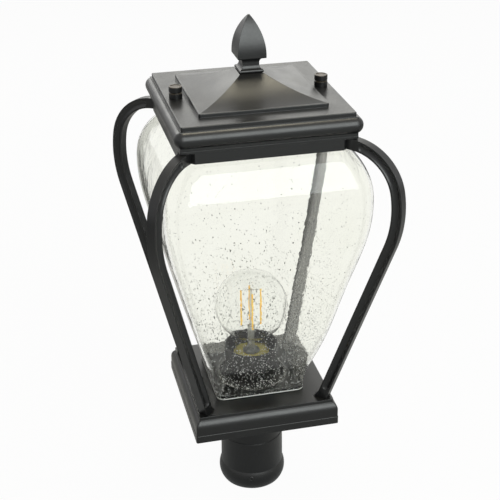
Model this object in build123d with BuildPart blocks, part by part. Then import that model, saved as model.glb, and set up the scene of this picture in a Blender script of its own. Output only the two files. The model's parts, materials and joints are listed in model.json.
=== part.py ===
from build123d import *
import os
from math import acos, atan2, cos, hypot, pi, radians, sin, sqrt, tan

# Post top lantern: a seeded glass vase in a cage of four bowed straps, on a square base with a
# post fitter, under a lift-off roof held by two thumb nuts.
# Millimetres. +Z is up, the front is -Y, the origin is the centre of the fitter's mouth.

os.makedirs("parts", exist_ok=True)

# Fits
thread_clearance = 0.05         # radial, a screw in its thread
hole_clearance = 0.3            # radial, a screw through a plain hole
part_gap = 0.3                  # between pieces that move past each other

# Post and fitter
post_diameter = 76.2            # the post that the fitter slides over
post_clearance = 0.4            # radial
socket_depth = 70.0
mouth_wall = 1.7
fitter_height = 128.8
bead_radius = 45.2              # ring round the mouth
bead_middle = 15.0
bead_top = 27.0
cup_radius_low = 42.4
cup_radius_top = 41.9
cup_height = 73.7
cup_edge = 0.6
hub_radius = 41.0
hub_bore = 30.0
set_screw_count = 3
set_screw_radius = 3.0
set_screw_length = 6.4
set_screw_height = 20.0
set_screw_angle = -104.0        # of the first one, degrees from +X
set_screw_key = 3.0             # across the flats of the socket
set_screw_key_depth = 2.6
screw_chamfer = 0.4             # at the ends of set screws and studs
fitter_bolt_count = 4
fitter_bolt_angle = 45.0        # of the first one, degrees from +X
fitter_bolt_radius = 2.5
fitter_bolt_length = 18.0

# Base
base_width = 187.5
base_fascia = 9.4
base_ovolo = 10.4
ovolo_reach = 5.25              # from the top plate's side to the fascia
plate_fascia = 4.5
base_wall = 4.0
corner_radius = 2.2             # upright corners of the base and the roof's steps
cover_lip = 0.45                # how far the cover stands proud of the casting
cover_height = 10.2
cover_floor = 4.0
cover_rim = 6.0
boss_radius = 5.5
cover_screw_inset = 19.75       # from the fascia, on the middle of each side
cover_screw_radius = 2.0
cover_screw_length = 13.0
cover_screw_count = 4
ground_screw_place = (-46.0, 46.0)

# Screw heads
head_ratio = 1.9                # head radius over shank radius
head_height = 2.2
sink_angle = 90                 # of countersinks, in degrees

# Cage
cage_height = 351.4             # base plate to the lower edge of the top frame
strap_width = 11.5
strap_depth = 13.3
strap_gap = 28.2                # between the glass corner and the strap, at the belly
strap_foot_inset = 8.7          # from the corner of the base plate
strap_shoulder_radius = 142.0   # outer face
strap_shoulder_turn = 9.8       # degrees above the widest point, where the crown arc takes over
strap_landing = 3.0             # straight run into the top frame
strap_toe = 4.2                 # how far the foot flares towards the glass
strap_toe_height = 11.0
cove_width = 9.3
cove_depth = 2.2
cove_stop = 15.0                # plain block left at each end
strap_screw_radius = 1.75
strap_screw_length = 13.0

# Top frame
neck_width = 207.1
neck_chamfer = 16.4
neck_wall = 4.0
neck_height = 13.0              # face below the lip
lip_height = 3.0
lip_overhang = 0.4
lip_corner = 1.0
ledge_height = 4.0              # inner flange over the rim of the glass
ledge_rise = 7.0                # underside of the flange above the lower edge
ledge_overlap = 5.55            # over the rim of the glass
ledge_corner = 12.0

# Glass
shade_wall = 3.0
shade_floor = 4.0
shade_foot_width = 116.0
shade_width = 252.0
shade_rim_gap = 12.0            # between the rim and the inside of the top frame
shade_shoulder_height = 65.1    # belly to the lower edge of the top frame
shade_flank_radius = 250.0
shade_foot_corner = 9.0
shade_belly_corner = 28.0
shade_rim_corner = 24.0
shade_hole_clearance = 2.0      # round the foot of the socket cup
foot_steps = 3                  # sections of the glass along each stretch
flank_steps = 2
shoulder_steps = 5
gasket_height = 1.0
gasket_inset = 3.0

# Socket cup and lampholder
cup_outer = 35.5
cup_foot = 41.5
cup_foot_edge = 1.2
cup_foot_flare = 9.0            # height of the hollow curve over the foot
cup_rise = 47.3
cup_wall = 2.0
nipple_outer = 4.9
nipple_bore = 3.4
nipple_below = 9.0              # length under the base plate
nipple_nut_flats = 15.0
nipple_nut_height = 4.0
holder_radius = 21.0
holder_height = 29.0
holder_floor = 7.5
holder_edge = 1.5
shell_wall = 0.5
shell_gap = 0.4                 # round the cap of the bulb
tongue_length = 12.0            # spring contact on the holder's floor
tongue_width = 4.0
tongue_thickness = 0.8

# Bulb
bulb_radius = 47.5
bulb_neck = 22.5
bulb_blend = 12.0               # radius between the neck and the globe
bulb_reach = 69.0               # top of the collar to the middle of the globe
bulb_wall = 1.0
bulb_cap_radius = 13.1
bulb_cap_wall = 0.8
bulb_collar_radius = 23.3
bulb_collar_height = 4.0
bulb_collar_gap = 1.3           # over the lampholder
bulb_insulator_height = 2.0
bulb_contact_radius = 4.5
bulb_contact_height = 1.4
stem_flare = 11.0               # radius of the stem's foot
stem_flare_height = 11.0
stem_radius = 4.5
stem_height = 38.0
stem_rod_radius = 1.8
stem_rod_height = 54.0          # above the stem
filament_count = 4
filament_circle = 13.0          # radius
filament_radius = 1.1
filament_length = 52.0
filament_angle = -95.0          # of the first one, degrees from +X
filament_wire = 0.3             # radius

# Roof
roof_lift = 2.9                 # shadow gap over the lip
roof_overhang = 6.45            # past the top frame
roof_edge_height = 20.0         # half-round edge
roof_edge_flat = 0.4            # flat left between the two quarter rounds of the edge
roof_corner = 10.2
roof_plate_inset = 1.95         # from the face of the top frame
roof_plate_rise = 5.2
roof_step_edge = 0.9            # rounding of the top edges of the plate and the panel
roof_seat_width = 6.0
roof_wall = 3.0
panel_border = 25.25            # flat of the plate round the raised panel
panel_rise = 4.6
pyramid_rise = 22.0
pyramid_hollow = 3.2            # how far the sides sag below a straight line
pyramid_boss_height = 8.0       # solid block under the finial
stud_radius = 3.0
stud_hole_clearance = 0.5
stud_above_roof = 9.0
jam_nut_flats = 10.0
jam_nut_height = 4.6
thumb_radius = 8.0
thumb_height = 14.4
thumb_bore_depth = 10.0
thumb_groove = 1.8              # height of the vee groove round the middle
thumb_groove_depth = 1.0
thumb_edge = 0.9                # rounding of the top edge
thumb_dish = 5.8                # radius of the shallow dish in the top
thumb_dish_depth = 0.5

# Finial
finial_foot_width = 29.0
finial_bead = 4.6               # height of the half-round bead at its foot
finial_neck_width = 20.2
finial_neck_low = 9.4           # ends of the narrow neck, above the pyramid
finial_neck_high = 12.2
finial_width = 34.4
finial_lip = 1.2                # rounding under the widest level
finial_widest = 21.1            # above the pyramid
finial_height = 67.0
finial_tip = 2.0                # width of the blunt tip
finial_screw_radius = 3.0
finial_screw_length = 16.0

# Widths that follow from the sizes
plate_width = base_width - 2 * ovolo_reach
cover_width = base_width + 2 * cover_lip
cover_screw_place = base_width / 2 - cover_screw_inset
fitter_bolt_circle = (hub_radius + hub_bore) / 2
rim_width = neck_width - 2 * (neck_wall + shade_rim_gap)
ledge_opening = rim_width - 2 * ledge_overlap
roof_width = neck_width + 2 * roof_overhang
roof_plate_width = neck_width - 2 * roof_plate_inset
panel_width = roof_plate_width - 2 * panel_border
stud_place = (roof_plate_width + panel_width) / 4

# Levels that follow from the sizes
cover_bottom = fitter_height
cover_floor_top = cover_bottom + cover_floor
base_bottom = cover_bottom + cover_height
base_top = base_bottom + base_fascia + base_ovolo + plate_fascia
base_pocket_top = base_top - base_wall
neck_bottom = base_top + cage_height
lip_bottom = neck_bottom + neck_height
lip_top = lip_bottom + lip_height
ledge_bottom = neck_bottom + ledge_rise
ledge_top = ledge_bottom + ledge_height
roof_edge_bottom = lip_top + roof_lift
roof_edge_top = roof_edge_bottom + roof_edge_height
roof_plate_top = roof_edge_top + roof_plate_rise
panel_top = roof_plate_top + panel_rise
pyramid_top = panel_top + pyramid_rise
socket_bore = post_diameter / 2 + post_clearance


def export(piece, name):
    piece.part.label = name
    export_step(piece.part, f"parts/{name}.step")


# ---- Shapes that more than one piece uses ----

def square_form(outline, reach):
    """Solid that is square at every level; outline draws one half of its upright section."""
    with BuildPart() as form:
        for plane, mode in ((Plane.XZ, Mode.ADD), (Plane.YZ, Mode.INTERSECT)):
            with BuildSketch(plane):
                with BuildLine():
                    outline()
                make_face()
                mirror(about=Plane.YZ)
            extrude(amount=reach, both=True, mode=mode)
    return form.part


def pan_screw(radius, length):
    """Screw along Z, its head standing on the origin and its shank below."""
    with BuildPart() as screw:
        Cylinder(radius, length, align=(Align.CENTER, Align.CENTER, Align.MAX))
        Cylinder(radius * head_ratio, head_height, align=(Align.CENTER, Align.CENTER, Align.MIN))
        with BuildSketch(Plane.XY.offset(head_height)):
            RegularPolygon(radius=radius, side_count=6)
        extrude(amount=-head_height / 2, mode=Mode.SUBTRACT)
    return screw.part


def sunk_screw(radius, length):
    """Countersunk screw along Z, its head flush with the origin and its shank below."""
    head = radius * head_ratio
    with BuildPart() as screw:
        Cylinder(radius, length, align=(Align.CENTER, Align.CENTER, Align.MAX))
        Cone(radius, head, head - radius, align=(Align.CENTER, Align.CENTER, Align.MAX))
        with BuildSketch():
            RegularPolygon(radius=radius, side_count=6)
        extrude(amount=-head_height / 2, mode=Mode.SUBTRACT)
    return screw.part


def hex_nut(flats, bore, height):
    """Nut along Z, standing on the origin."""
    with BuildPart() as nut:
        with BuildSketch():
            RegularPolygon(radius=flats / 2, side_count=6, major_radius=False)
            Circle(bore, mode=Mode.SUBTRACT)
        extrude(amount=height)
    return nut.part


def facing(direction, origin):
    """Plane at origin with its normal along direction."""
    return Plane(origin=origin, z_dir=direction)


def heading(angle):
    return Vector(cos(radians(angle)), sin(radians(angle)), 0)


def tangent_lean(point, centre, radius):
    """Lean from upright, in radians, of the line from point that touches the circle above it."""
    across, down = point.X - centre.X, centre.Y - point.Y
    return atan2(down, across) - acos(radius / hypot(across, down))


# ---- Post fitter ----

set_screw_angles = [set_screw_angle + 360 / set_screw_count * n for n in range(set_screw_count)]

with BuildPart() as post_fitter:
    with BuildSketch(Plane.XZ):
        with BuildLine():
            Line((socket_bore, 0), (socket_bore + mouth_wall, 0))
            TangentArc((bead_radius, bead_middle), (socket_bore + mouth_wall, 0), tangent=(0, -1))
            TangentArc((bead_radius, bead_middle), (cup_radius_low, bead_top), tangent=(0, 1))
            Polyline(
                (cup_radius_low, bead_top),
                (cup_radius_top, cup_height),
                (hub_radius, cup_height),
                (hub_radius, fitter_height),
                (hub_bore, fitter_height),
                (hub_bore, socket_depth),
                (socket_bore, socket_depth),
                (socket_bore, 0),
            )
        make_face()
    revolve(axis=Axis.Z)
    cup_top_edge = edges().filter_by_position(Axis.Z, cup_height, cup_height).sort_by(SortBy.LENGTH)[-1]
    fillet(cup_top_edge, radius=cup_edge)
    for angle in set_screw_angles:
        with BuildSketch(facing(heading(angle), (0, 0, set_screw_height))):
            Circle(set_screw_radius + thread_clearance)
        extrude(amount=2 * bead_radius, mode=Mode.SUBTRACT)
    with Locations(Plane.XY.offset(fitter_height)):
        with PolarLocations(fitter_bolt_circle, fitter_bolt_count, start_angle=fitter_bolt_angle):
            Hole(fitter_bolt_radius + thread_clearance, depth=fitter_bolt_length - cover_floor)
export(post_fitter, "post_fitter")

for angle, side in zip(set_screw_angles, ("front", "right", "left")):
    tail = heading(angle) * (socket_bore + part_gap) + Vector(0, 0, set_screw_height)
    tip = tail + heading(angle) * set_screw_length
    with BuildPart() as set_screw:
        with BuildSketch(facing(heading(angle), tail)):
            Circle(set_screw_radius)
        extrude(amount=set_screw_length)
        chamfer(edges().filter_by(GeomType.CIRCLE), length=screw_chamfer)
        with BuildSketch(facing(heading(angle), tip)):
            RegularPolygon(radius=set_screw_key / 2, side_count=6, major_radius=False)
        extrude(amount=-set_screw_key_depth, mode=Mode.SUBTRACT)
    export(set_screw, f"set_screw_{side}")

# ---- Base ----

with BuildPart() as base_cover:
    with BuildSketch(Plane.XY.offset(cover_bottom)):
        RectangleRounded(cover_width, cover_width, corner_radius)
    extrude(amount=cover_height)
    chamfer(faces().sort_by(Axis.Z)[-1].edges(), length=cover_lip)
    with BuildSketch(Plane.XY.offset(cover_floor_top)):
        Rectangle(cover_width - 2 * cover_rim, cover_width - 2 * cover_rim)
    extrude(amount=cover_height, mode=Mode.SUBTRACT)
    with Locations(Plane.XY.offset(cover_floor_top)):
        Hole(hub_bore, depth=cover_floor)
        with PolarLocations(fitter_bolt_circle, fitter_bolt_count, start_angle=fitter_bolt_angle):
            Hole(fitter_bolt_radius + hole_clearance, depth=cover_floor)
        with PolarLocations(cover_screw_place, cover_screw_count):
            Hole(cover_screw_radius + hole_clearance, depth=cover_floor)
        with Locations(ground_screw_place):
            Hole(cover_screw_radius + thread_clearance, depth=cover_floor)
export(base_cover, "base_cover")

fitter_bolt = pan_screw(fitter_bolt_radius, fitter_bolt_length)
with BuildPart() as fitter_bolts:
    with Locations(Plane.XY.offset(cover_floor_top)):
        with PolarLocations(fitter_bolt_circle, fitter_bolt_count, start_angle=fitter_bolt_angle):
            add(fitter_bolt)
export(fitter_bolts, "fitter_bolts")

cover_screw = pan_screw(cover_screw_radius, cover_screw_length)
with BuildPart() as base_cover_screws:
    with Locations(facing((0, 0, -1), (0, 0, cover_bottom))):
        with PolarLocations(cover_screw_place, cover_screw_count):
            add(cover_screw)
export(base_cover_screws, "base_cover_screws")

earth_screw = pan_screw(cover_screw_radius, cover_floor)
with BuildPart() as ground_screw:
    with Locations(Plane.XY.offset(cover_floor_top)):
        with Locations(ground_screw_place):
            add(earth_screw)
export(ground_screw, "ground_screw")


def base_outline():
    ovolo_bottom = base_bottom + base_fascia
    ovolo_top = ovolo_bottom + base_ovolo
    side, plate_side = base_width / 2, plate_width / 2
    Polyline((0, base_bottom), (side, base_bottom), (side, ovolo_bottom))
    TangentArc((side, ovolo_bottom), (plate_side, ovolo_top), tangent=(0, 1))
    Polyline((plate_side, ovolo_top), (plate_side, base_top), (0, base_top), (0, base_bottom))


strap_names = {
    45: "strap_back_right",
    135: "strap_back_left",
    225: "strap_front_left",
    315: "strap_front_right",
}
strap_foot_radius = plate_width / sqrt(2) - strap_foot_inset

belly_corner_reach = (shade_width / 2 - shade_belly_corner) * sqrt(2) + shade_belly_corner
reach = belly_corner_reach + strap_gap + strap_depth
neck_corner = (neck_width - neck_chamfer) / sqrt(2)
strap_top = lip_bottom - part_gap
crown_end = neck_corner + strap_landing
turn = radians(strap_shoulder_turn)
crown_radius = (reach - strap_shoulder_radius * (1 - cos(turn)) - crown_end) / cos(turn)
crown_centre = Vector(crown_end, strap_top - crown_radius)
shoulder_centre = crown_centre + Vector(cos(turn), sin(turn)) * (crown_radius - strap_shoulder_radius)
strap_foot = Vector(strap_foot_radius, base_top)
strap_lean = tangent_lean(strap_foot, shoulder_centre, strap_shoulder_radius)
strap_foot_middle = strap_foot_radius - strap_depth / 2 / cos(strap_lean)
strap_screw_level = (neck_bottom + ledge_bottom) / 2
strap_foot_bite = strap_screw_length - base_wall
strap_top_bite = strap_screw_length - neck_wall


def strap_edge(inset, start, end_angle):
    """Line, shoulder and crown of a strap, inset from its outer face and begun at start."""
    out = Vector(cos(strap_lean), -sin(strap_lean))
    shoulder_reach = strap_shoulder_radius - inset
    crown_reach = crown_radius - inset
    line_end = shoulder_centre + out * shoulder_reach
    shoulder_end = shoulder_centre + Vector(cos(turn), sin(turn)) * shoulder_reach
    crown_stop = crown_centre + Vector(cos(end_angle), sin(end_angle)) * crown_reach
    first, second, third, last = [tuple(p) for p in (start, line_end, shoulder_end, crown_stop)]
    Line(first, second)
    RadiusArc(second, third, -shoulder_reach)
    RadiusArc(third, last, -crown_reach)


with BuildPart() as base_casting:
    add(square_form(base_outline, base_width))
    fillet(edges().filter_by(Axis.Z), radius=corner_radius)
    with BuildSketch(Plane.XY.offset(base_bottom)):
        Rectangle(plate_width - 2 * base_wall, plate_width - 2 * base_wall)
    extrude(amount=base_pocket_top - base_bottom, mode=Mode.SUBTRACT)
    with BuildSketch(Plane.XY.offset(cover_floor_top)):
        with PolarLocations(cover_screw_place, cover_screw_count):
            Circle(boss_radius)
    extrude(amount=base_pocket_top - cover_floor_top)
    with Locations(facing((0, 0, -1), (0, 0, cover_floor_top))):
        with PolarLocations(cover_screw_place, cover_screw_count):
            Hole(cover_screw_radius + thread_clearance, depth=cover_screw_length - cover_floor)
    with Locations(facing((0, 0, -1), (0, 0, base_pocket_top))):
        Hole(nipple_outer + hole_clearance, depth=base_wall)
    for angle in strap_names:
        head = heading(angle) * strap_foot_middle + Vector(0, 0, base_pocket_top)
        with Locations(facing((0, 0, -1), head)):
            CounterSinkHole(
                strap_screw_radius + hole_clearance,
                strap_screw_radius * head_ratio + hole_clearance,
                depth=base_wall,
                counter_sink_angle=sink_angle,
            )
export(base_casting, "base_casting")

# ---- Cage ----

cove_radius = ((cove_width / 2) ** 2 + cove_depth ** 2) / (2 * cove_depth)
cove_offset = strap_width / 2 + cove_radius - cove_depth
cove_middle = strap_depth / 2
cove_run = cove_stop + cove_width / 2
up_the_strap = Vector(sin(strap_lean), cos(strap_lean))
cove_start = Vector(strap_foot_middle, base_top) + up_the_strap * cove_run
cove_end_angle = pi / 2 - (cove_run - strap_landing) / (crown_radius - cove_middle)
cove_end = crown_centre + Vector(cos(cove_end_angle), sin(cove_end_angle)) * (crown_radius - cove_middle)

with BuildPart() as strap_bar:
    with BuildSketch(Plane.XZ):
        with BuildLine():
            inner_foot = strap_foot - Vector(strap_depth / cos(strap_lean), 0)
            toe = inner_foot - Vector(strap_toe, 0)
            toe_top = inner_foot + up_the_strap * strap_toe_height
            strap_edge(0, strap_foot, pi / 2)
            Polyline(
                (crown_end, strap_top),
                (neck_corner, strap_top),
                (neck_corner, strap_top - strap_depth),
                (crown_end, strap_top - strap_depth),
            )
            strap_edge(strap_depth, toe_top, pi / 2)
            TangentArc(toe_top, toe, tangent=-up_the_strap)
            Line(toe, strap_foot)
        make_face()
    extrude(amount=strap_width / 2, both=True)
    for side in (-1, 1):
        with BuildLine(Plane.XZ):
            strap_edge(cove_middle, cove_start, cove_end_angle)
        start = Plane(
            origin=(cove_start.X, 0, cove_start.Y),
            x_dir=(0, side, 0),
            z_dir=(up_the_strap.X, 0, up_the_strap.Y),
        )
        with BuildSketch(start):
            with Locations((cove_offset, 0)):
                Circle(cove_radius)
        sweep(mode=Mode.SUBTRACT)
        with Locations(*[(end.X, side * cove_offset, end.Y) for end in (cove_start, cove_end)]):
            Sphere(cove_radius, mode=Mode.SUBTRACT)
    with Locations(facing((0, 0, -1), (strap_foot_middle, 0, base_top))):
        Hole(strap_screw_radius + thread_clearance, depth=strap_foot_bite)
    with Locations(facing((-1, 0, 0), (neck_corner, 0, strap_screw_level))):
        Hole(strap_screw_radius + thread_clearance, depth=strap_top_bite)

for angle, name in strap_names.items():
    with BuildPart() as strap:
        with Locations(Rotation(0, 0, angle)):
            add(strap_bar.part)
    export(strap, name)

sunk = sunk_screw(strap_screw_radius, strap_screw_length)
with BuildPart() as strap_foot_screws:
    for angle in strap_names:
        head = heading(angle) * strap_foot_middle + Vector(0, 0, base_pocket_top)
        with Locations(facing((0, 0, -1), head)):
            add(sunk)
export(strap_foot_screws, "strap_foot_screws")

# ---- Top frame ----

neck_inner_corner = neck_corner - neck_wall
stud_places = [(-stud_place, 0), (stud_place, 0)]

with BuildPart() as top_frame:
    with BuildSketch(Plane.XY.offset(neck_bottom)) as neck_outline:
        Rectangle(neck_width, neck_width)
        chamfer(neck_outline.vertices(), length=neck_chamfer)
    extrude(amount=neck_height)
    with BuildSketch(Plane.XY.offset(lip_bottom)):
        RectangleRounded(neck_width + 2 * lip_overhang, neck_width + 2 * lip_overhang, lip_corner)
    extrude(amount=lip_height)
    with BuildSketch(Plane.XY.offset(neck_bottom)) as neck_opening:
        Rectangle(neck_width - 2 * neck_wall, neck_width - 2 * neck_wall)
        chamfer(neck_opening.vertices(), length=neck_chamfer - neck_wall * (2 - sqrt(2)))
    extrude(amount=lip_top - neck_bottom, mode=Mode.SUBTRACT)
    with BuildSketch(Plane.XY.offset(ledge_bottom)) as ledge_outline:
        Rectangle(neck_width - 2 * neck_wall, neck_width - 2 * neck_wall)
        chamfer(ledge_outline.vertices(), length=neck_chamfer - neck_wall * (2 - sqrt(2)))
        RectangleRounded(ledge_opening, ledge_opening, ledge_corner, mode=Mode.SUBTRACT)
    extrude(amount=ledge_height)
    with Locations(Plane.XY.offset(ledge_top)):
        with Locations(stud_places):
            Hole(stud_radius + thread_clearance, depth=ledge_height)
    for angle in strap_names:
        inner_face = heading(angle) * neck_inner_corner + Vector(0, 0, strap_screw_level)
        with Locations(facing(-heading(angle), inner_face)):
            CounterSinkHole(
                strap_screw_radius + hole_clearance,
                strap_screw_radius * head_ratio + hole_clearance,
                depth=neck_wall,
                counter_sink_angle=sink_angle,
            )
export(top_frame, "top_frame")

with BuildPart() as strap_top_screws:
    for angle in strap_names:
        head = heading(angle) * neck_inner_corner + Vector(0, 0, strap_screw_level)
        with Locations(facing(-heading(angle), head)):
            add(sunk)
export(strap_top_screws, "strap_top_screws")

with BuildPart() as roof_studs:
    with Locations(Plane.XY.offset(ledge_bottom)):
        with Locations(stud_places):
            Cylinder(
                stud_radius,
                roof_plate_top + stud_above_roof - ledge_bottom,
                align=(Align.CENTER, Align.CENTER, Align.MIN),
            )
    chamfer(edges().filter_by(GeomType.CIRCLE).group_by(Axis.Z)[-1], length=screw_chamfer)
export(roof_studs, "roof_studs")

jam_nut = hex_nut(jam_nut_flats, stud_radius + thread_clearance, jam_nut_height)
with BuildPart() as stud_jam_nuts:
    with Locations(Plane.XY.offset(ledge_top)):
        with Locations(stud_places):
            add(jam_nut)
export(stud_jam_nuts, "stud_jam_nuts")

# ---- Glass ----

shade_bottom = base_top + gasket_height
shade_top = ledge_bottom - gasket_height
belly_level = neck_bottom - shade_shoulder_height
shoulder_rise = shade_top - belly_level
shoulder_sink = (shade_width - rim_width) / 2
shade_shoulder_radius = (shoulder_rise ** 2 + shoulder_sink ** 2) / (2 * shoulder_sink)
flank_centre = Vector(shade_width / 2 - shade_flank_radius, belly_level)
flank_lean = tangent_lean(Vector(shade_foot_width / 2, shade_bottom), flank_centre, shade_flank_radius)
flank_start = belly_level - shade_flank_radius * sin(flank_lean)
shade_hole_radius = cup_foot + shade_hole_clearance


def shade_half_width(level):
    """Half width of the glass: a straight foot, a flank arc up to the belly, a shoulder arc."""
    if level < flank_start:
        return shade_foot_width / 2 + (level - shade_bottom) * tan(flank_lean)
    radius = shade_flank_radius if level < belly_level else shade_shoulder_radius
    return shade_width / 2 - radius + sqrt(radius ** 2 - (level - belly_level) ** 2)


def shade_corner(level):
    """Radius of the glass's upright corners, widest at the belly."""
    if level < belly_level:
        share = (level - shade_bottom) / (belly_level - shade_bottom)
        return shade_foot_corner + (shade_belly_corner - shade_foot_corner) * share
    share = (level - belly_level) / (shade_top - belly_level)
    return shade_belly_corner + (shade_rim_corner - shade_belly_corner) * share


def shade_levels(bottom):
    """Levels of the sections: few along the straight foot, more up the two arcs."""
    foot = [bottom + (flank_start - bottom) * n / foot_steps for n in range(foot_steps + 1)]
    flank_rise = belly_level - flank_start
    flank = [flank_start + flank_rise * n / flank_steps for n in range(1, flank_steps + 1)]
    quarter = pi / 2 / shoulder_steps
    crown = [belly_level + shoulder_rise * sin(quarter * n) for n in range(1, shoulder_steps + 1)]
    return foot + flank + crown


with BuildPart() as shade_glass:
    for level in shade_levels(shade_bottom):
        with BuildSketch(Plane.XY.offset(level)):
            width = 2 * shade_half_width(level)
            RectangleRounded(width, width, shade_corner(level))
    loft()
    for level in shade_levels(shade_bottom + shade_floor):
        with BuildSketch(Plane.XY.offset(level)):
            width = 2 * (shade_half_width(level) - shade_wall)
            RectangleRounded(width, width, shade_corner(level) - shade_wall)
    loft(mode=Mode.SUBTRACT)
    with Locations(Plane.XY.offset(shade_bottom + shade_floor)):
        Hole(shade_hole_radius, depth=shade_floor)
export(shade_glass, "shade_glass")

gasket_width = shade_foot_width - 2 * gasket_inset

with BuildPart() as shade_gasket:
    with BuildSketch(Plane.XY.offset(base_top)):
        RectangleRounded(gasket_width, gasket_width, shade_foot_corner - gasket_inset)
        Circle(shade_hole_radius + gasket_inset, mode=Mode.SUBTRACT)
    extrude(amount=gasket_height)
export(shade_gasket, "shade_gasket")

with BuildPart() as neck_gasket:
    with BuildSketch(Plane.XY.offset(shade_top)):
        RectangleRounded(rim_width, rim_width, shade_rim_corner)
        RectangleRounded(
            rim_width - 2 * shade_wall,
            rim_width - 2 * shade_wall,
            shade_rim_corner - shade_wall,
            mode=Mode.SUBTRACT,
        )
    extrude(amount=gasket_height)
export(neck_gasket, "neck_gasket")

# ---- Socket cup and lampholder ----

holder_bottom = base_top + cup_wall
holder_floor_top = holder_bottom + holder_floor
holder_top = holder_bottom + holder_height
nipple_hole = nipple_outer + hole_clearance

with BuildPart() as socket_cup:
    with BuildSketch(Plane.XZ):
        with BuildLine():
            foot_edge = base_top + cup_foot_edge
            Polyline((nipple_hole, base_top), (cup_foot, base_top), (cup_foot, foot_edge))
            TangentArc((cup_outer, base_top + cup_foot_flare), (cup_foot, foot_edge), tangent=(0, -1))
            Polyline(
                (cup_outer, base_top + cup_foot_flare),
                (cup_outer, base_top + cup_rise),
                (cup_outer - cup_wall, base_top + cup_rise),
                (cup_outer - cup_wall, holder_bottom),
                (nipple_hole, holder_bottom),
                (nipple_hole, base_top),
            )
        make_face()
    revolve(axis=Axis.Z)
export(socket_cup, "socket_cup")

shell_outer = bulb_cap_radius + shell_gap + shell_wall

with BuildPart() as lampholder_body:
    with Locations(Plane.XY.offset(holder_bottom)):
        Cylinder(holder_radius, holder_height, align=(Align.CENTER, Align.CENTER, Align.MIN))
    fillet(edges().sort_by(Axis.Z)[-1], radius=holder_edge)
    with Locations(Plane.XY.offset(holder_top)):
        Hole(shell_outer + thread_clearance, depth=holder_height - holder_floor)
    with Locations(Plane.XY.offset(holder_floor_top)):
        Hole(nipple_outer + thread_clearance, depth=holder_floor)
export(lampholder_body, "lampholder_body")

with BuildPart() as lampholder_shell:
    with BuildSketch(Plane.XY.offset(holder_floor_top)):
        Circle(shell_outer)
        Circle(shell_outer - shell_wall, mode=Mode.SUBTRACT)
    extrude(amount=holder_height - holder_floor - holder_edge)
export(lampholder_shell, "lampholder_shell")

with BuildPart() as lampholder_contact:
    with BuildSketch(Plane.XY.offset(holder_floor_top)):
        SlotOverall(2 * tongue_length, tongue_width)
    extrude(amount=tongue_thickness)
export(lampholder_contact, "lampholder_contact")

nipple_bottom = base_pocket_top - nipple_below
with BuildPart() as lampholder_nipple:
    with BuildSketch(Plane.XY.offset(nipple_bottom)):
        Circle(nipple_outer)
        Circle(nipple_bore, mode=Mode.SUBTRACT)
    extrude(amount=holder_floor_top - nipple_bottom)
export(lampholder_nipple, "lampholder_nipple")

locknut = hex_nut(nipple_nut_flats, nipple_outer + thread_clearance, nipple_nut_height)
with BuildPart() as nipple_nut:
    with Locations(Plane.XY.offset(base_pocket_top - nipple_nut_height)):
        add(locknut)
export(nipple_nut, "nipple_nut")

# ---- Bulb ----

collar_bottom = holder_top + bulb_collar_gap
collar_top = collar_bottom + bulb_collar_height
globe_centre = collar_top + bulb_reach
contact_bottom = holder_floor_top + tongue_thickness + part_gap
insulator_bottom = contact_bottom + bulb_contact_height
cap_bottom = insulator_bottom + bulb_insulator_height


def globe_outline(inset):
    """Neck, blend and globe of the bulb, inset from the outer face, closed on the axis."""
    neck, blend, globe = bulb_neck - inset, bulb_blend + inset, bulb_radius - inset
    span = globe + blend
    blend_drop = sqrt(span ** 2 - (neck + blend) ** 2)
    blend_level = globe_centre - blend_drop
    share = globe / span
    meeting = ((neck + blend) * share, globe_centre - blend_drop * share)
    crown = globe_centre + globe
    Polyline((0, collar_top), (neck, collar_top), (neck, blend_level))
    TangentArc((neck, blend_level), meeting, tangent=(0, 1))
    ThreePointArc(meeting, (globe, globe_centre), (0, crown))
    Line((0, crown), (0, collar_top))


with BuildPart() as bulb_globe:
    for inset, mode in ((0, Mode.ADD), (bulb_wall, Mode.SUBTRACT)):
        with BuildSketch(Plane.XZ):
            with BuildLine():
                globe_outline(inset)
            make_face()
        revolve(axis=Axis.Z, mode=mode)
export(bulb_globe, "bulb_globe")

with BuildPart() as bulb_collar:
    with Locations(Plane.XY.offset(collar_bottom)):
        Cylinder(bulb_collar_radius, bulb_collar_height, align=(Align.CENTER, Align.CENTER, Align.MIN))
export(bulb_collar, "bulb_collar")

with BuildPart() as bulb_cap:
    with BuildSketch(Plane.XY.offset(cap_bottom)):
        Circle(bulb_cap_radius)
        Circle(bulb_cap_radius - bulb_cap_wall, mode=Mode.SUBTRACT)
    extrude(amount=collar_bottom - cap_bottom)
export(bulb_cap, "bulb_cap")

with BuildPart() as bulb_insulator:
    with Locations(Plane.XY.offset(insulator_bottom)):
        Cone(
            bulb_contact_radius,
            bulb_cap_radius,
            bulb_insulator_height,
            align=(Align.CENTER, Align.CENTER, Align.MIN),
        )
export(bulb_insulator, "bulb_insulator")

with BuildPart() as bulb_contact:
    with Locations(Plane.XY.offset(contact_bottom)):
        Cylinder(bulb_contact_radius, bulb_contact_height, align=(Align.CENTER, Align.CENTER, Align.MIN))
    fillet(edges().sort_by(Axis.Z)[0], radius=bulb_contact_height / 2)
export(bulb_contact, "bulb_contact")

stem_top = collar_top + stem_height
flare_top = collar_top + stem_flare_height
with BuildPart() as bulb_stem:
    with BuildSketch(Plane.XZ):
        with BuildLine():
            Polyline((0, collar_top), (stem_flare, collar_top), (stem_flare, collar_top + bulb_wall))
            TangentArc((stem_radius, flare_top), (stem_flare, collar_top + bulb_wall), tangent=(0, -1))
            Polyline(
                (stem_radius, flare_top),
                (stem_radius, stem_top),
                (stem_rod_radius, stem_top),
                (stem_rod_radius, stem_top + stem_rod_height),
                (0, stem_top + stem_rod_height),
                (0, collar_top),
            )
        make_face()
    revolve(axis=Axis.Z)
export(bulb_stem, "bulb_stem")

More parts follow.
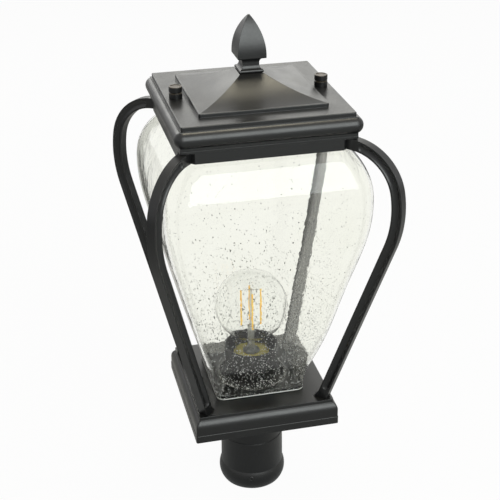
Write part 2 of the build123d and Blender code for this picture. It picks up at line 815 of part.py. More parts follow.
filament_bottom = stem_top + (stem_rod_height - filament_length) / 2
filament_top = filament_bottom + filament_length
with BuildPart() as bulb_filaments:
    with Locations(Plane.XY.offset(filament_bottom)):
        with PolarLocations(filament_circle, filament_count, start_angle=filament_angle):
            Cylinder(filament_radius, filament_length, align=(Align.CENTER, Align.CENTER, Align.MIN))
export(bulb_filaments, "bulb_filaments")

with BuildPart() as bulb_filament_wires:
    for level in (filament_bottom - filament_wire, filament_top + filament_wire):
        with Locations(Plane.XY.offset(level)):
            with PolarLocations(0, filament_count, start_angle=filament_angle):
                with Locations(Plane.YZ.offset(stem_rod_radius)):
                    Cylinder(
                        filament_wire,
                        filament_circle - stem_rod_radius,
                        align=(Align.CENTER, Align.CENTER, Align.MIN),
                    )
export(bulb_filament_wires, "bulb_filament_wires")

# ---- Roof ----

finial_foot_half = finial_foot_width / 2
plate_underside = roof_plate_top - roof_wall
boss_bottom = pyramid_top - pyramid_boss_height


def pyramid_outline(half_width, bottom, top):
    """Hollow-sided pyramid between two levels, ending under the foot of the finial."""
    Polyline((0, bottom), (half_width, bottom))
    SagittaArc((half_width, bottom), (finial_foot_half, top), pyramid_hollow)
    Polyline((finial_foot_half, top), (0, top), (0, bottom))


def pyramid_skin():
    pyramid_outline(panel_width / 2 - corner_radius, panel_top, pyramid_top)


def pyramid_cavity():
    foot = panel_width / 2 - corner_radius - roof_wall
    pyramid_outline(foot, panel_top - roof_wall, pyramid_top - roof_wall)


with BuildPart() as roof_cap:
    with BuildSketch(Plane.XY.offset(roof_edge_bottom)):
        RectangleRounded(roof_width, roof_width, roof_corner)
    extrude(amount=roof_edge_height)
    fillet(edges().filter_by(Axis.Z, reverse=True), radius=(roof_edge_height - roof_edge_flat) / 2)
    with BuildSketch(Plane.XY.offset(lip_top)):
        Rectangle(neck_width, neck_width)
    extrude(amount=roof_edge_top - lip_top)
    with BuildSketch(Plane.XY.offset(roof_edge_top)):
        RectangleRounded(roof_plate_width, roof_plate_width, corner_radius)
    extrude(amount=roof_plate_rise)
    fillet(faces().sort_by(Axis.Z)[-1].edges(), radius=roof_step_edge)
    with BuildSketch(Plane.XY.offset(roof_plate_top)):
        RectangleRounded(panel_width, panel_width, corner_radius)
    extrude(amount=panel_rise)
    fillet(faces().sort_by(Axis.Z)[-1].edges(), radius=roof_step_edge)
    add(square_form(pyramid_skin, panel_width))
    with BuildSketch(Plane.XY.offset(lip_top)):
        Rectangle(neck_width - 2 * roof_seat_width, neck_width - 2 * roof_seat_width)
    extrude(amount=plate_underside - lip_top, mode=Mode.SUBTRACT)
    with BuildSketch(Plane.XY.offset(plate_underside)):
        Rectangle(panel_width - 2 * roof_wall, panel_width - 2 * roof_wall)
    extrude(amount=panel_rise, mode=Mode.SUBTRACT)
    add(square_form(pyramid_cavity, panel_width), mode=Mode.SUBTRACT)
    with BuildSketch(Plane.XY.offset(boss_bottom)):
        Rectangle(finial_foot_width, finial_foot_width)
    extrude(amount=pyramid_boss_height)
    with Locations(Plane.XY.offset(roof_plate_top)):
        with Locations(stud_places):
            Hole(stud_radius + stud_hole_clearance, depth=roof_wall)
    with Locations(Plane.XY.offset(pyramid_top)):
        Hole(finial_screw_radius + hole_clearance, depth=pyramid_boss_height)
export(roof_cap, "roof_cap")


def finial_outline():
    foot, neck, widest = finial_foot_half, finial_neck_width / 2, finial_width / 2
    bead = finial_bead / 2
    bead_foot = (foot - bead, pyramid_top)
    bead_head = (foot - bead, pyramid_top + finial_bead)
    neck_low = (neck, pyramid_top + finial_neck_low)
    neck_high = (neck, pyramid_top + finial_neck_high)
    underside = neck_high[1] + widest - finial_lip - neck
    lip_start = (widest - finial_lip, underside)
    lip_end = (widest, underside + finial_lip)
    blade_foot = (widest, pyramid_top + finial_widest)
    tip = (finial_tip / 2, pyramid_top + finial_height)
    Line((0, pyramid_top), bead_foot)
    ThreePointArc(bead_foot, (foot, pyramid_top + bead), bead_head)
    TangentArc(neck_low, bead_head, tangent=(0, -1))
    Line(neck_low, neck_high)
    TangentArc(neck_high, lip_start, tangent=(0, 1))
    TangentArc(lip_start, lip_end, tangent=(1, 0))
    Line(lip_end, blade_foot)
    TangentArc(blade_foot, tip, tangent=(0, 1))
    Polyline(tip, (0, tip[1]), (0, pyramid_top))


with BuildPart() as finial:
    add(square_form(finial_outline, finial_width))
    with Locations(facing((0, 0, -1), (0, 0, pyramid_top))):
        Hole(
            finial_screw_radius + thread_clearance, depth=finial_screw_length - pyramid_boss_height
        )
export(finial, "finial")

roof_screw = pan_screw(finial_screw_radius, finial_screw_length)
with BuildPart() as finial_screw:
    with Locations(facing((0, 0, -1), (0, 0, boss_bottom))):
        add(roof_screw)
export(finial_screw, "finial_screw")

nut_top = roof_plate_top + thumb_height
nut_middle = roof_plate_top + thumb_height / 2
nut_bore = stud_radius + thread_clearance
nut_bore_top = roof_plate_top + thumb_bore_depth

for place, side in zip(stud_places, ("left", "right")):
    with BuildPart() as thumb_nut:
        with BuildSketch(Plane.XZ.move(Location((*place, 0)))):
            with BuildLine():
                Polyline(
                    (0, nut_bore_top),
                    (nut_bore, nut_bore_top),
                    (nut_bore, roof_plate_top),
                    (thumb_radius, roof_plate_top),
                    (thumb_radius, nut_middle - thumb_groove / 2),
                    (thumb_radius - thumb_groove_depth, nut_middle),
                    (thumb_radius, nut_middle + thumb_groove / 2),
                    (thumb_radius, nut_top),
                    (thumb_dish + thumb_dish_depth, nut_top),
                    (thumb_dish, nut_top - thumb_dish_depth),
                    (0, nut_top - thumb_dish_depth),
                    (0, nut_bore_top),
                )
            make_face()
        revolve(axis=Axis((*place, 0), (0, 0, 1)))
        rim = edges().filter_by(GeomType.CIRCLE).group_by(Axis.Z)[-1]
        fillet(rim.sort_by(SortBy.RADIUS)[-1], radius=thumb_edge)
    export(thumb_nut, f"thumb_nut_{side}")
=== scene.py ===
import bpy
import bisect
import json
import math
import random
from mathutils import Matrix, Vector
from mathutils.geometry import convex_hull_2d


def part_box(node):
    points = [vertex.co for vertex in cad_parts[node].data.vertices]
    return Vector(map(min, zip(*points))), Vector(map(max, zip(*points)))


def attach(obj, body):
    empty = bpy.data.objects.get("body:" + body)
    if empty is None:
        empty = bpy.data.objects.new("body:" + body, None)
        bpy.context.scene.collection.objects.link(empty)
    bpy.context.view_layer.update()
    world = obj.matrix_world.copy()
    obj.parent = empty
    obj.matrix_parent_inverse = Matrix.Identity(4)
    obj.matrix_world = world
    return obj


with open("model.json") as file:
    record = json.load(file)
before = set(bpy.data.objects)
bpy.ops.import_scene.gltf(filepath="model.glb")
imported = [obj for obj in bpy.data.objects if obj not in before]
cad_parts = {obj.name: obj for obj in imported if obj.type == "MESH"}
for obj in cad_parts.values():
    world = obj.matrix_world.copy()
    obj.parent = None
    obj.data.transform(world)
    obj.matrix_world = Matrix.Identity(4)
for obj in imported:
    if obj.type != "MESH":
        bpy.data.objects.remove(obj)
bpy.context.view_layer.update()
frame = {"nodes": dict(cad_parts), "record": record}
nodes = frame["nodes"]
mm = 0.001
print("frame loaded,", len(nodes), "nodes")


def addObject(name, data):
    made = bpy.data.objects.new(name, data)
    bpy.context.scene.collection.objects.link(made)
    return made


def share(value, low, high):
    # how far value lies from low to high, held between 0 and 1
    return min(1, max(0, (value - low) / (high - low)))


camera = {
    "lens": 82.25,                                   # mm
    "sensor": 36,                                    # mm
    "clip": (0.05, 50),                              # m
    "azimuth": -13.325,
    "elevation": 26.544,
    "roll": -0.432,
    "distance": 1.4579,
    "aim": (-0.00042, 0.34744),                      # m, along the camera's right and up Z
}


def makeCamera():
    data = bpy.data.cameras.new("camera")
    data.lens = camera["lens"]
    data.sensor_width = camera["sensor"]
    data.clip_start, data.clip_end = camera["clip"]
    azimuth, elevation = math.radians(camera["azimuth"]), math.radians(camera["elevation"])
    back = Vector((
        math.sin(azimuth) * math.cos(elevation),
        -math.cos(azimuth) * math.cos(elevation),
        math.sin(elevation),
    ))
    right = Vector((math.cos(azimuth), math.sin(azimuth), 0))
    up = back.cross(right)
    turn = Matrix.Rotation(math.radians(camera["roll"]), 3, back)
    target = right * camera["aim"][0] + Vector((0, 0, camera["aim"][1]))
    axes = Matrix((turn @ right, turn @ up, back)).transposed().to_4x4()
    made = addObject("camera", data)
    made.matrix_world = Matrix.Translation(target + back * camera["distance"]) @ axes
    bpy.context.scene.camera = made


makeCamera()
print("camera placed")


class Tree:
    # wraps a node tree so that a node is one short call

    def __init__(self, tree):
        self.tree = tree
        self.nodes = tree.nodes
        self.nodes.clear()

    def add(self, kind, **values):
        node = self.nodes.new(kind)
        for name, value in values.items():
            setattr(node, name, value)
        return node

    def link(self, source, target):
        self.tree.links.new(source, target)

    def feed(self, target, value):
        # a socket is linked, a value is set
        if isinstance(value, bpy.types.NodeSocket):
            self.link(value, target)
        else:
            target.default_value = value

    def put(self, node, **inputs):
        # inputs go by their names, _ standing for a space
        for name, value in inputs.items():
            self.feed(node.inputs[name.replace("_", " ")], value)
        return node

    def math(self, operation, first, second=None, clamp=False):
        node = self.add("ShaderNodeMath", operation=operation, use_clamp=clamp)
        self.feed(node.inputs[0], first)
        if second is not None:
            self.feed(node.inputs[1], second)
        return node.outputs[0]

    def span(self, value, low, high, newLow=0.0, newHigh=1.0):
        node = self.add("ShaderNodeMapRange", clamp=True)
        self.put(node, Value=value, From_Min=low, From_Max=high, To_Min=newLow, To_Max=newHigh)
        return node.outputs["Result"]

    def spread(self, noise, low, high):
        # most of a noise lies between 0.3 and 0.7
        return self.span(noise, 0.3, 0.7, low, high)

    def noise(self, vector, scale, detail=2.0, roughness=0.5):
        # scale is in cells per metre
        node = self.add("ShaderNodeTexNoise")
        self.put(node, Vector=vector, Scale=scale, Detail=detail, Roughness=roughness)
        return node.outputs["Fac"]

    def mix(self, amount, first, second):
        node = self.add("ShaderNodeMix", data_type="RGBA")
        for index, value in ((0, amount), (6, first), (7, second)):
            self.feed(node.inputs[index], value)
        return node.outputs[2]

    def bump(self, height, strength, distance, normal=None):
        node = self.add("ShaderNodeBump")
        self.put(node, Height=height, Strength=strength, Distance=distance)
        if normal is not None:
            self.link(normal, node.inputs["Normal"])
        return node.outputs["Normal"]

    def place(self):
        return self.add("ShaderNodeTexCoord").outputs["Object"]

    def normal(self):
        return self.add("ShaderNodeNewGeometry").outputs["Normal"]

    def height(self, vector):
        split = self.add("ShaderNodeSeparateXYZ")
        self.link(vector, split.inputs[0])
        return split.outputs["Z"]


def group(name, inputs, outputs):
    # an empty node group with float inputs and the named outputs
    tree = bpy.data.node_groups.new(name, "ShaderNodeTree")
    for label in inputs:
        tree.interface.new_socket(name=label, in_out="INPUT", socket_type="NodeSocketFloat")
    for label, kind in outputs.items():
        tree.interface.new_socket(name=label, in_out="OUTPUT", socket_type=kind)
    t = Tree(tree)
    return tree, t, t.add("NodeGroupInput").outputs, t.add("NodeGroupOutput").inputs


def useGroup(t, tree, **values):
    node = t.add("ShaderNodeGroup")
    node.node_tree = tree
    return t.put(node, **values).outputs


def newMaterial(name):
    material = bpy.data.materials.new(name)
    material.use_nodes = True
    t = Tree(material.node_tree)
    shader = t.add("ShaderNodeBsdfPrincipled")
    output = t.add("ShaderNodeOutputMaterial")
    t.link(shader.outputs["BSDF"], output.inputs["Surface"])
    return material, t, shader


grainLook = {
    "detail": 3.0,
    "roughness": 0.6,
    "speckle": (0.42, 0.68),                         # of the grain's noise
    "cloud": (0.35, 0.65),                           # of the wave's noise
}


def makeGrainGroup():
    # fine pebbled skin over a slow waviness, sizes in mm
    tree, t, given, out = group(
        "powderGrain",
        ("Grain Size", "Wave Size", "Wave Share"),
        {"Height": "NodeSocketFloat", "Speckle": "NodeSocketFloat", "Cloud": "NodeSocketFloat"},
    )
    place = t.place()
    grainScale = t.math("DIVIDE", 1 / mm, given["Grain Size"])
    waveScale = t.math("DIVIDE", 1 / mm, given["Wave Size"])
    grain = t.noise(place, grainScale, grainLook["detail"], grainLook["roughness"])
    wave = t.noise(place, waveScale)
    t.link(t.math("ADD", grain, t.math("MULTIPLY", wave, given["Wave Share"])), out["Height"])
    t.link(t.span(grain, *grainLook["speckle"]), out["Speckle"])
    t.link(t.span(wave, *grainLook["cloud"]), out["Cloud"])
    return tree


edgeLook = {
    "samples": 6,
    "fullAt": 0.25,                                  # 1 - cosine of a turn that is all edge
}


def makeEdgeGroup():
    # where the surface turns, and a rounded normal for the shader
    tree, t, given, out = group(
        "edgeTurn",
        ("Radius", "Threshold"),
        {"Edge": "NodeSocketFloat", "Normal": "NodeSocketVector"},
    )
    bevel = t.add("ShaderNodeBevel", samples=edgeLook["samples"])
    t.link(given["Radius"], bevel.inputs["Radius"])
    dot = t.add("ShaderNodeVectorMath", operation="DOT_PRODUCT")
    t.link(bevel.outputs["Normal"], dot.inputs[0])
    t.link(t.normal(), dot.inputs[1])
    turned = t.math("SUBTRACT", 1.0, dot.outputs["Value"])
    t.link(t.span(turned, given["Threshold"], edgeLook["fullAt"]), out["Edge"])
    t.link(bevel.outputs["Normal"], out["Normal"])
    return tree


dustLook = {
    "upward": (0.3, 0.95),                           # Z of the normal from clean to dusty
    "detail": 5.0,
    "spots": (0.4, 0.75),
}


def makeDustGroup():
    # pale dust that settles on what faces up, broken up by noise, patch size in mm
    tree, t, given, out = group(
        "settledDust", ("Patch Size", "Amount"), {"Dust": "NodeSocketFloat"}
    )
    upward = t.span(t.height(t.normal()), *dustLook["upward"])
    patchScale = t.math("DIVIDE", 1 / mm, given["Patch Size"])
    patch = t.noise(t.place(), patchScale, dustLook["detail"])
    dusty = t.math("MULTIPLY", upward, t.span(patch, *dustLook["spots"]))
    t.link(t.math("MULTIPLY", dusty, given["Amount"]), out["Dust"])
    return tree


grainGroup = makeGrainGroup()
edgeGroup = makeEdgeGroup()
dustGroup = makeDustGroup()
print("shared effects built")


powderCoat = {
    "color": (0.0042, 0.0044, 0.0045, 1),
    # painted highlight along the edges where the surface turns
    "paintedEdgeHighlight": (0.030, 0.031, 0.031, 1),
    "dustColor": (0.09, 0.08, 0.055, 1),
    "grainSize": 1.5,                                # mm
    "waveSize": 26.0,                                # mm
    "waveShare": 0.25,
    "grainStrength": 0.55,
    "grainDepth": 0.00011,                           # m
    "edgeRadius": 0.0007,                            # m
    "edgeThreshold": 0.03,
    "dustPatch": 70.0,                               # mm
    "dustAmount": 0.12,
    "roughness": (0.28, 0.33),
    "speckleRoughness": 0.08,                        # added on the grain's tips
    "specular": 0.44,
}


def makePowderCoat():
    look = powderCoat
    material, t, shader = newMaterial("powderCoat")
    grain = useGroup(
        t, grainGroup,
        Grain_Size=look["grainSize"], Wave_Size=look["waveSize"], Wave_Share=look["waveShare"],
    )
    edge = useGroup(t, edgeGroup, Radius=look["edgeRadius"], Threshold=look["edgeThreshold"])
    dust = useGroup(t, dustGroup, Patch_Size=look["dustPatch"], Amount=look["dustAmount"])
    # painted highlight: edges are drawn paler than the coat
    color = t.mix(edge["Edge"], look["color"], look["paintedEdgeHighlight"])
    color = t.mix(dust["Dust"], color, look["dustColor"])
    rough = t.span(grain["Cloud"], 0, 1, *look["roughness"])
    tips = t.math("MULTIPLY", grain["Speckle"], look["speckleRoughness"])
    t.put(
        shader,
        Base_Color=color,
        Roughness=t.math("ADD", rough, tips, clamp=True),
        Normal=t.bump(grain["Height"], look["grainStrength"], look["grainDepth"], edge["Normal"]),
    )
    shader.inputs["Specular IOR Level"].default_value = look["specular"]
    return material


steel = {
    "grainSize": 0.35,                               # mm
    "waveSize": 3.0,                                 # mm
    "waveShare": 0.5,
    "grainStrength": 0.3,
    "grainDepth": 0.00004,                           # m
    "edgeRadius": 0.0002,                            # m
    "edgeThreshold": 0.05,
    "edgeGain": 1.35,                                # a rubbed edge is the color times this
    "edgeLift": 0.05,                                # and a little more
    "roughnessSpan": (-0.08, 0.1),
}


def makeSteel(name, color, roughness):
    # plated or blackened fastener steel, rubbed at its edges
    material, t, shader = newMaterial(name)
    grain = useGroup(
        t, grainGroup,
        Grain_Size=steel["grainSize"], Wave_Size=steel["waveSize"], Wave_Share=steel["waveShare"],
    )
    edge = useGroup(t, edgeGroup, Radius=steel["edgeRadius"], Threshold=steel["edgeThreshold"])
    rubbed = [min(1.0, steel["edgeGain"] * c + steel["edgeLift"]) for c in color[:3]] + [1]
    low, high = (roughness + step for step in steel["roughnessSpan"])
    t.put(
        shader,
        Base_Color=t.mix(edge["Edge"], color, rubbed),
        Roughness=t.span(grain["Cloud"], 0, 1, low, high),
        Normal=t.bump(
            grain["Height"], steel["grainStrength"], steel["grainDepth"], edge["Normal"]
        ),
    )
    shader.inputs["Metallic"].default_value = 1.0
    return material


shadeGlass = {
    "clear": (0.985, 0.988, 0.955, 1),
    "deep": (0.935, 0.940, 0.885, 1),
    "tintScale": 14,
    "ior": 1.38,
    "rippleScale": 38,
    "swirlScale": 130,
    "swirlShare": 0.2,                               # of the ripple
    "rippleStrength": 0.5,
    "rippleDepth": 0.00062,                          # m
    "roughness": (0.0, 0.02),
}


def makeSeededGlass():
    look = shadeGlass
    material, t, shader = newMaterial("seededGlass")
    place = t.place()
    ripple = t.noise(place, look["rippleScale"], 1.0)
    swirl = t.noise(place, look["swirlScale"])
    height = t.math("ADD", ripple, t.math("MULTIPLY", swirl, look["swirlShare"]))
    t.put(
        shader,
        Base_Color=t.mix(t.noise(place, look["tintScale"]), look["deep"], look["clear"]),
        Roughness=t.spread(swirl, *look["roughness"]),
        Normal=t.bump(height, look["rippleStrength"], look["rippleDepth"]),
    )
    shader.inputs["Transmission Weight"].default_value = 1.0
    shader.inputs["IOR"].default_value = look["ior"]
    return material


bulbGlass = {
    "tones": ((0.97, 0.975, 0.97, 1), (0.995, 0.995, 0.99, 1)),
    "toneScale": 30,
    "roughness": (0.0, 0.02),
    "roughnessScale": 120,
    "waveScale": 60,
    "waveStrength": 0.2,
    "waveDepth": 0.0004,                             # m
    "ior": 1.25,
}


def makeBulbGlass():
    look = bulbGlass
    material, t, shader = newMaterial("bulbGlass")
    place = t.place()
    t.put(
        shader,
        Base_Color=t.mix(t.noise(place, look["toneScale"]), *look["tones"]),
        Roughness=t.spread(t.noise(place, look["roughnessScale"]), *look["roughness"]),
        Normal=t.bump(t.noise(place, look["waveScale"]), look["waveStrength"], look["waveDepth"]),
    )
    shader.inputs["Transmission Weight"].default_value = 1.0
    shader.inputs["IOR"].default_value = look["ior"]
    return material


pressedGlass = {
    # milky pinched glass of the bulb stem, and the pale tube of the painted highlight at the
    # glass foot
    "tones": ((0.86, 0.87, 0.82, 1), (0.99, 0.99, 0.96, 1)),
    "cloudScale": 260,
    "cloudDetail": 3.0,
    "roughness": (0.25, 0.45),
    "ior": 1.2,
}


def makePressedGlass(name, clearness):
    material, t, shader = newMaterial(name)
    cloud = t.noise(t.place(), pressedGlass["cloudScale"], pressedGlass["cloudDetail"])
    t.put(
        shader,
        Base_Color=t.mix(cloud, *pressedGlass["tones"]),
        Roughness=t.spread(cloud, *pressedGlass["roughness"]),
    )
    shader.inputs["Transmission Weight"].default_value = clearness
    shader.inputs["IOR"].default_value = pressedGlass["ior"]
    return material


thumbNutLook = {
    # painted highlight on the rim, and painted warm reflection tones on the faces that look up
    "paintedRimHighlight": (0.07, 0.06, 0.04, 1),
    "sideColor": (0.006, 0.006, 0.006, 1),
    "paintedReflectionTones": ((0.030, 0.018, 0.006, 1), (0.055, 0.034, 0.012, 1)),
    "paintedReflectionNormalZ": (0.6, 0.95),                         # Z of the normal from the black side to the painted reflection on faces that look up
    "grainSize": 0.5,                                # mm
    "waveSize": 4.0,                                 # mm
    "waveShare": 0.5,
    "grainStrength": 0.3,
    "grainDepth": 0.00003,                           # m
    "edgeRadius": 0.0006,                            # m
    "edgeThreshold": 0.02,
    "roughness": (0.30, 0.45),
    "specular": 0.3,
}


def makeThumbNutLook():
    # black thumb nut with a painted warm reflection, brown on the faces that look up, and a
    # painted highlight on its rim
    look = thumbNutLook
    material, t, shader = newMaterial("blackNutPaintedReflection")
    grain = useGroup(
        t, grainGroup,
        Grain_Size=look["grainSize"], Wave_Size=look["waveSize"], Wave_Share=look["waveShare"],
    )
    edge = useGroup(t, edgeGroup, Radius=look["edgeRadius"], Threshold=look["edgeThreshold"])
    # painted reflection: faces that look up are brown, the sides stay black; the rim gets a
    # painted highlight
    paintedReflection = t.mix(grain["Cloud"], *look["paintedReflectionTones"])
    color = t.mix(t.span(t.height(t.normal()), *look["paintedReflectionNormalZ"]), look["sideColor"], paintedReflection)
    t.put(
        shader,
        Base_Color=t.mix(edge["Edge"], color, look["paintedRimHighlight"]),
        Roughness=t.span(grain["Speckle"], 0, 1, *look["roughness"]),
        Normal=t.bump(grain["Height"], look["grainStrength"], look["grainDepth"], edge["Normal"]),
    )
    shader.inputs["Specular IOR Level"].default_value = look["specular"]
    return material


plain = {
    "grainSize": 1.2,                                # mm
    "waveSize": 6.0,                                 # mm
    "waveShare": 0.6,
    "grainStrength": 0.3,
    "grainDepth": 0.00003,                           # m
    "roughnessSpan": (-0.05, 0.08),
}


def makePlain(name, toneA, toneB, roughness, metallic=0.0, glow=None):
    # a mottled two-tone finish for the small parts
    material, t, shader = newMaterial(name)
    grain = useGroup(
        t, grainGroup,
        Grain_Size=plain["grainSize"], Wave_Size=plain["waveSize"], Wave_Share=plain["waveShare"],
    )
    color = t.mix(grain["Cloud"], toneA, toneB)
    low, high = (roughness + step for step in plain["roughnessSpan"])
    t.put(
        shader,
        Base_Color=color,
        Roughness=t.span(grain["Speckle"], 0, 1, low, high),
        Normal=t.bump(grain["Height"], plain["grainStrength"], plain["grainDepth"]),
    )
    shader.inputs["Metallic"].default_value = metallic
    if glow is not None:
        t.put(shader, Emission_Color=color)
        shader.inputs["Emission Strength"].default_value = glow
    return material


steels = {
    # material, color, roughness
    "black_steel": ("blackSteel", (0.06, 0.06, 0.06, 1), 0.38),
    "zinc_steel": ("zincSteel", (0.56, 0.57, 0.58, 1), 0.32),
}
plains = {
    # material, two tones, roughness, metallic, glow
    "brass": ("brass", (0.60, 0.50, 0.06, 1), (0.72, 0.62, 0.12, 1), 0.42),
    "gasket_rubber": ("gasketRubber", (0.55, 0.56, 0.53, 1), (0.68, 0.69, 0.65, 1), 0.6),
    "porcelain": ("porcelain", (0.78, 0.77, 0.72, 1), (0.86, 0.85, 0.81, 1), 0.22),
    "nickel": ("nickel", (0.6, 0.6, 0.57, 1), (0.72, 0.72, 0.69, 1), 0.28, 1.0),
    "black_insulator": ("blackInsulator", (0.02, 0.02, 0.03, 1), (0.05, 0.05, 0.05, 1), 0.2),
    "solder": ("solder", (0.5, 0.5, 0.5, 1), (0.62, 0.62, 0.6, 1), 0.45, 1.0),
    "filament": ("filament", (0.95, 0.50, 0.05, 1), (1.0, 0.66, 0.14, 1), 0.6, 0.0, 0.45),
}
finishes = {
    "powder_coat": makePowderCoat(),
    "seeded_glass": makeSeededGlass(),
    "clear_glass": makeBulbGlass(),
}
finishes.update((slot, makeSteel(*row)) for slot, row in steels.items())
finishes.update((slot, makePlain(*row)) for slot, row in plains.items())

stemClearness = 0.75
ownFinish = {
    "bulb_stem": makePressedGlass("pressedGlass", stemClearness),
    "thumb_nut_left": makeThumbNutLook(),
}
ownFinish["thumb_nut_right"] = ownFinish["thumb_nut_left"]
print("finishes built")


def dressNodes():
    for part in frame["record"]["subparts"]:
        node = nodes[part["node"]]
        node.data.materials.clear()
        node.data.materials.append(ownFinish.get(part["node"]) or finishes[part["material_slot"]])
        for polygon in node.data.polygons:
            polygon.material_index = 0


dressNodes()
print("nodes dressed")


seeds = {
    "count": 8600,
    "size": (0.28, 0.66),                            # mm, half the width of a bubble
    "sizeSkew": 2.4,                                 # the higher, the more of them are small
    "footSize": 1.6,                                 # times that at the foot
    "stretch": (1.0, 1.6),
    "lean": 0.5,
    "thickest": 0.0006,                              # m, half the thickness of a bubble
    "depth": (0.0006, 0.0014),                       # m under the outer face
    "clearness": 0.1,
    "ior": 1.45,
    "roughness": (0.5, 0.75),
    # painted light and shade: bubbles are drawn pale low down and dark higher up, by height alone
    "paintedLitTones": ((0.86, 0.87, 0.84, 1), (1, 1, 0.99, 1)),
    "paintedShadeTones": ((0.10, 0.10, 0.09, 1), (0.50, 0.50, 0.47, 1)),
    "toneScales": (900, 700, 400),                   # of the painted lit tones, the painted shade tones and roughness
    "paintedLitBelow": 0.284,                            # m above the floor, below it the bubbles get the painted lit tones
    "paintedShadeAbove": 0.306,
    "thinning": (0.27, 0.35),                        # m, over this height they grow fewer as well
    "thinned": 0.55,
    "thinnest": 0.09,                                # of the number at the foot
    "thinnestAt": 0.46,                              # m, where the bubbles are fewest
    "falloff": 3,
    "outward": 0.002,                                # an outer face looks away from the axis
    "seed": 41,                                      # of the random draws
}


def makeSeed():
    # painted light and shade on a bubble: pale low down, before the black base, and dark higher
    # up, set by height alone
    material, t, shader = newMaterial("airSeedPaintedLightShade")
    place = t.place()
    paintedLitScale, paintedShadeScale, roughnessScale = seeds["toneScales"]
    # share of painted shade by height: 0 low down, 1 higher up
    high = t.span(t.height(place), seeds["paintedLitBelow"], seeds["paintedShadeAbove"])
    pale = t.mix(t.noise(place, paintedLitScale), *seeds["paintedLitTones"])
    dark = t.mix(t.noise(place, paintedShadeScale), *seeds["paintedShadeTones"])
    t.put(
        shader,
        Base_Color=t.mix(high, pale, dark),
        Roughness=t.spread(t.noise(place, roughnessScale), *seeds["roughness"]),
    )
    shader.inputs["Transmission Weight"].default_value = seeds["clearness"]
    shader.inputs["IOR"].default_value = seeds["ior"]
    return material


def outerTriangles(mesh):
    # triangles of the outer skin with their running area
    mesh.calc_loop_triangles()
    found, total = [], 0.0
    for tri in mesh.loop_triangles:
        middle = tri.center
        outward = Vector((middle.x, middle.y, 0)).dot(tri.normal)
        if outward > seeds["outward"] and tri.area > 0:
            total += tri.area
            found.append((total, tri))
    return found, total


def pickSpot(found, rng, total, mesh):
    # a random point of the skin, evenly spread over its area
    at = bisect.bisect_left(found, rng.uniform(0, total), key=lambda row: row[0])
    tri = found[min(at, len(found) - 1)][1]
    a, b, c = (mesh.vertices[i].co for i in tri.vertices)
    u, v = rng.random(), rng.random()
    if u + v > 1:
        u, v = 1 - u, 1 - v
    return a + (b - a) * u + (c - a) * v, tri.normal


def makeSeeds():
    glass = nodes["shade_glass"].data
    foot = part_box("shade_glass")[0].z
    found, total = outerTriangles(glass)
    rng = random.Random(seeds["seed"])
    corners = [(1, 0, 0), (0, 1, 0), (-1, 0, 0), (0, -1, 0), (0, 0, 1), (0, 0, -1)]
    upper = [(i, (i + 1) % 4, 4) for i in range(4)]
    lower = [((i + 1) % 4, i, 5) for i in range(4)]
    smallest, largest = seeds["size"]
    points, faces = [], []
    while len(points) < seeds["count"] * len(corners):
        spot, outward = pickSpot(found, rng, total, glass)
        low = share(spot.z, seeds["thinnestAt"], foot)
        chance = seeds["thinnest"] + (1 - seeds["thinnest"]) * low ** seeds["falloff"]
        thinned = share(spot.z, *seeds["thinning"]) * seeds["thinned"]
        if rng.random() > chance * (1 - thinned):
            continue
        spot = spot - outward * rng.uniform(*seeds["depth"])
        radius = (smallest + (largest - smallest) * rng.random() ** seeds["sizeSkew"]) * mm
        radius *= 1 + (seeds["footSize"] - 1) * low
        stretch = rng.uniform(*seeds["stretch"])
        lean = rng.uniform(-seeds["lean"], seeds["lean"])
        side = Vector((0, 0, 1)).cross(outward).normalized()
        along = (outward.cross(side).normalized() + side * lean).normalized()
        across = along.cross(outward).normalized()
        wide, tall = across * radius, along * radius * stretch
        thick = outward * min(radius, seeds["thickest"])
        first = len(points)
        points += [spot + wide * x + tall * y + thick * z for x, y, z in corners]
        faces += [[first + i for i in face] for face in upper + lower]
    mesh = bpy.data.meshes.new("glass_seeds")
    mesh.from_pydata(points, [], faces)
    mesh.shade_smooth()
    mesh.materials.append(makeSeed())
    piece = addObject("glass_seeds", mesh)
    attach(piece, "root")


makeSeeds()
print("glass seeded")


# painted highlight: a pale tube drawn along the foot of the glass
paintedFootHighlight = {
    "width": 0.0016,                                 # m
    "reach": 0.0025,                                 # m above the foot, still its edge
    "roundness": 2,
    "clearness": 0.35,
}


def makePaintedFootHighlight():
    # a pale milky tube around the foot of the glass, a painted highlight line along its lower
    # edge
    glass = nodes["shade_glass"].data
    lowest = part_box("shade_glass")[0].z
    radius = paintedFootHighlight["width"] / 2
    rim = [v.co for v in glass.vertices if v.co.z < lowest + paintedFootHighlight["reach"]]
    around = [rim[i] for i in convex_hull_2d([(co.x, co.y) for co in rim])]
    curve = bpy.data.curves.new("glass_foot_painted_highlight", "CURVE")
    curve.dimensions = "3D"
    curve.bevel_depth = radius
    curve.bevel_resolution = paintedFootHighlight["roundness"]
    line = curve.splines.new("POLY")
    line.points.add(len(around) - 1)
    line.use_cyclic_u = True
    for point, co in zip(line.points, around):
        inward = 1 - radius / math.hypot(co.x, co.y)
        point.co = (co.x * inward, co.y * inward, lowest + radius, 1)
    curve.materials.append(makePressedGlass("paintedHighlightEdge", paintedFootHighlight["clearness"]))
    edge = addObject("glass_foot_painted_highlight", curve)
    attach(edge, "root")


makePaintedFootHighlight()
print("foot edge drawn")


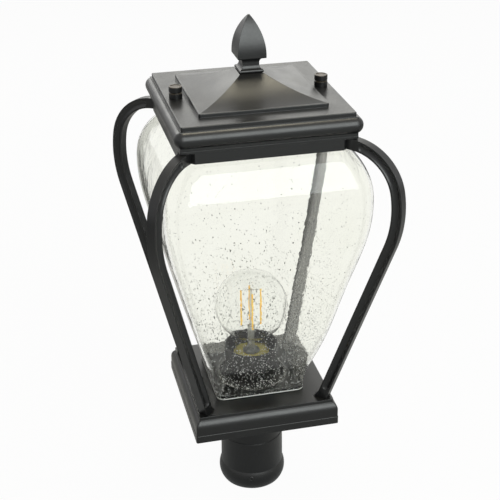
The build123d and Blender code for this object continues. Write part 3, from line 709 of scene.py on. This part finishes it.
studio = {
    "floorColor": (0.52, 0.52, 0.515, 1),
    "floorRoughness": 0.9,
    "floorReach": 6.0,                               # m
    "white": (1, 1, 1, 1),
    "whiteShare": 0.96,                              # of the floor's look, also through glass
    "glossShare": 0.12,                              # of its look in a reflection
    "skyFill": 0.25,                                 # of the sky as a light on the object
    "aim": (0, 0, 0.38),                             # m
    "lamps": {
        # azimuth from +X, elevation, distance, width, height, watts, color
        "key": (-76, 30, 2.6, 2.0, 2.0, 68, (0.94, 1.0, 0.985)),
        "overhead": (60, 74, 2.0, 0.64, 0.64, 14, (1.0, 0.92, 0.70)),
        "behindLeft": (106, 28, 2.4, 1.0, 1.0, 9.5, (1.0, 1.0, 0.95)),
        "behindRight": (70, 20, 2.4, 1.6, 1.0, 7, (1.0, 1.0, 0.93)),
    },
}


def seenDirectly(t, gloss=1.0):
    # 1 for camera and transmission rays, gloss for glossy ones
    path = t.add("ShaderNodeLightPath").outputs
    reflected = t.math("MULTIPLY", path["Is Glossy Ray"], gloss)
    first = t.math("MAXIMUM", path["Is Camera Ray"], reflected)
    return t.math("MAXIMUM", first, path["Is Transmission Ray"])


def mixShaders(t, amount, first, second):
    both = t.add("ShaderNodeMixShader")
    for socket, source in zip(both.inputs, (amount, first, second)):
        t.link(source, socket)
    return both.outputs[0]


def makeFloor():
    mesh = bpy.data.meshes.new("floor")
    far = studio["floorReach"]
    corners = [(-far, -far, 0), (far, -far, 0), (far, far, 0), (-far, far, 0)]
    mesh.from_pydata(corners, [], [(0, 1, 2, 3)])
    material, t, shader = newMaterial("floor")
    t.put(shader, Base_Color=studio["floorColor"], Roughness=studio["floorRoughness"])
    glow = t.put(t.add("ShaderNodeEmission"), Color=studio["white"], Strength=1.0)
    seen = t.math("MULTIPLY", seenDirectly(t, studio["glossShare"]), studio["whiteShare"])
    output = next(n for n in t.nodes if n.type == "OUTPUT_MATERIAL")
    both = mixShaders(t, seen, shader.outputs["BSDF"], glow.outputs[0])
    t.link(both, output.inputs["Surface"])
    mesh.materials.append(material)
    addObject("floor", mesh)


def makeSky():
    world = bpy.data.worlds.new("sky")
    world.use_nodes = True
    bpy.context.scene.world = world
    t = Tree(world.node_tree)
    lit, seen = (
        t.put(t.add("ShaderNodeBackground"), Color=studio["white"], Strength=strength)
        for strength in (studio["skyFill"], 1.0)
    )
    both = mixShaders(t, seenDirectly(t), lit.outputs[0], seen.outputs[0])
    t.link(both, t.add("ShaderNodeOutputWorld").inputs["Surface"])


def makeLamps():
    for name, row in studio["lamps"].items():
        azimuth, elevation, distance, width, height, watts, color = row
        data = bpy.data.lights.new(name, "AREA")
        data.shape, data.size, data.size_y = "RECTANGLE", width, height
        data.energy, data.color = watts, color
        around, above = math.radians(azimuth), math.radians(elevation)
        toLamp = Vector((
            math.cos(around) * math.cos(above),
            math.sin(around) * math.cos(above),
            math.sin(above),
        ))
        lamp = addObject(name, data)
        lamp.location = Vector(studio["aim"]) + toLamp * distance
        lamp.rotation_mode = "QUATERNION"
        lamp.rotation_quaternion = toLamp.to_track_quat("Z", "Y")
        lamp.visible_camera = False
        lamp.visible_transmission = False


makeFloor()
makeSky()
makeLamps()
bpy.context.scene.view_settings.view_transform = "Standard"
print("studio lit")
